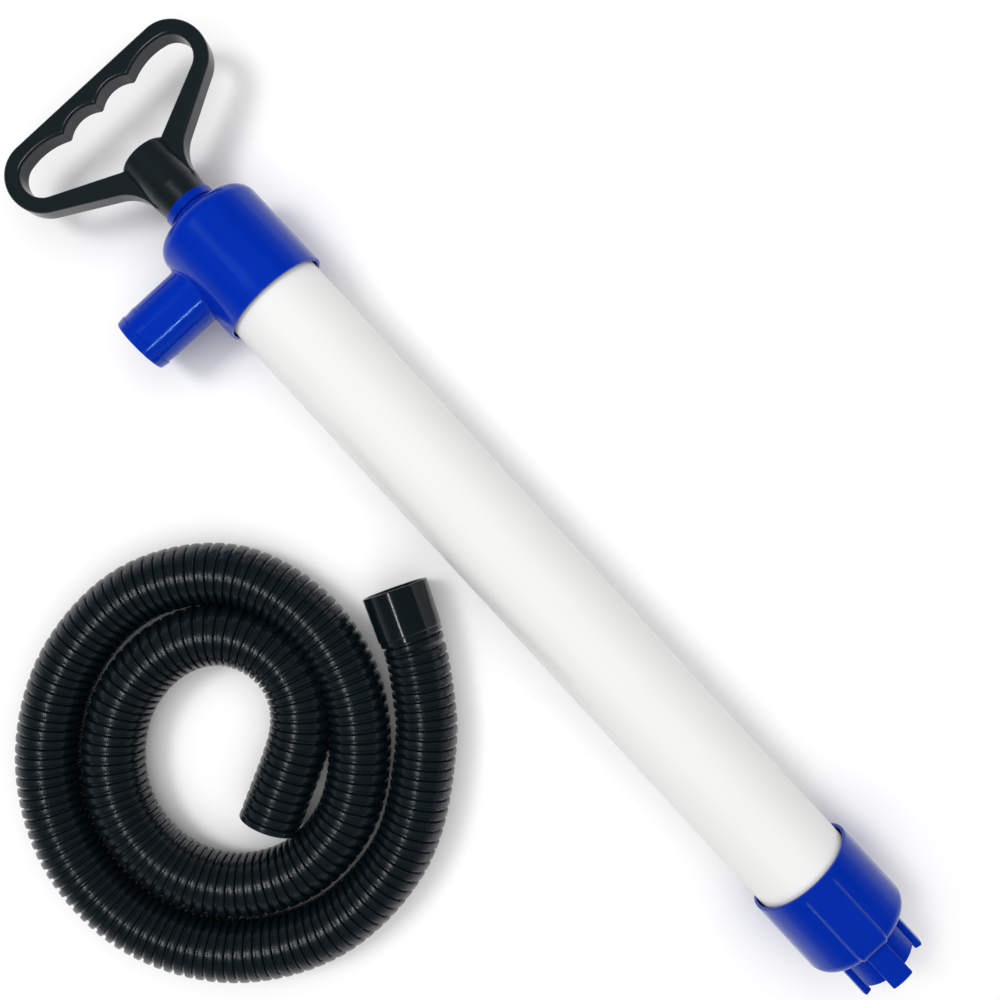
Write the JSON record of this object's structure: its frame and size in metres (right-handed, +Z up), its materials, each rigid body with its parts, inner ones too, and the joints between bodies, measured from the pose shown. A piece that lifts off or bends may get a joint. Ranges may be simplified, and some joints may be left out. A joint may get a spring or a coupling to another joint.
{
  "type": "hand bilge pump",
  "caption": "Hand piston bilge pump with a D-shaped handle, blue head with side outlet, white barrel, legged inlet foot and a loose corrugated push-on hose.",
  "frame": {"origin": "centre of the bottom of the pump's own box, on the surface it lies on, without the loose hose", "axes": "+X along the pump from the foot to the handle, +Y towards the outlet spout and the hose, +Z up"},
  "size_m": [0.549, 0.3223, 0.0546],
  "materials": {
    "barrel": "satin white extruded tube",
    "moulding": "glossy royal blue injection moulding",
    "grip": "satin black injection moulding",
    "hose": "satin black corrugated tube",
    "cuff": "glossy black soft moulding",
    "rubber": "matt black rubber",
    "bush": "natural acetal",
    "rod": "satin drawn tube",
    "steel": "stainless steel"
  },
  "bodies": {
    "barrel": {"barrel_tube": "barrel", "head_body": "moulding", "head_gasket": "rubber", "gland_cap": "moulding", "gland_seal": "rubber", "guide_bush": "bush", "foot_cap": "moulding", "foot_gasket": "rubber", "foot_valve_seat": "bush", "foot_valve_pin": "bush", "strainer_plate": "moulding"},
    "seal_carrier": {"piston_seal": "rubber"},
    "plunger": {"handle": "grip", "rod_tube": "rod", "rod_plug": "grip", "piston_body": "bush", "piston_retainer": "bush", "piston_washer": "steel", "piston_screw": "steel"},
    "piston_valve": {"piston_valve_disc": "rubber"},
    "foot_valve": {"foot_valve_disc": "rubber"},
    "hose": {"hose_cuff": "cuff", "hose_tube": "hose"}
  },
  "joints": [
    {"name": "pump_stroke", "type": "slide", "parent": "barrel", "child": "seal_carrier", "axis": [1, 0, 0], "range_m": [0, 0.36]},
    {"name": "rod_spin", "type": "hinge", "parent": "seal_carrier", "child": "plunger", "pos_m": [0, -0.00165, 0.0268], "axis": [1, 0, 0], "continuous": true},
    {"name": "piston_valve_lift", "type": "slide", "parent": "plunger", "child": "piston_valve", "axis": [1, 0, 0], "range_m": [0, 0.0025]},
    {"name": "foot_valve_lift", "type": "slide", "parent": "barrel", "child": "foot_valve", "axis": [1, 0, 0], "range_m": [0, 0.003]},
    {"name": "hose_lift", "type": "slide", "parent": "barrel", "child": "hose", "axis": [0, 0, 1], "range_m": [0, 0.08]}
  ]
}
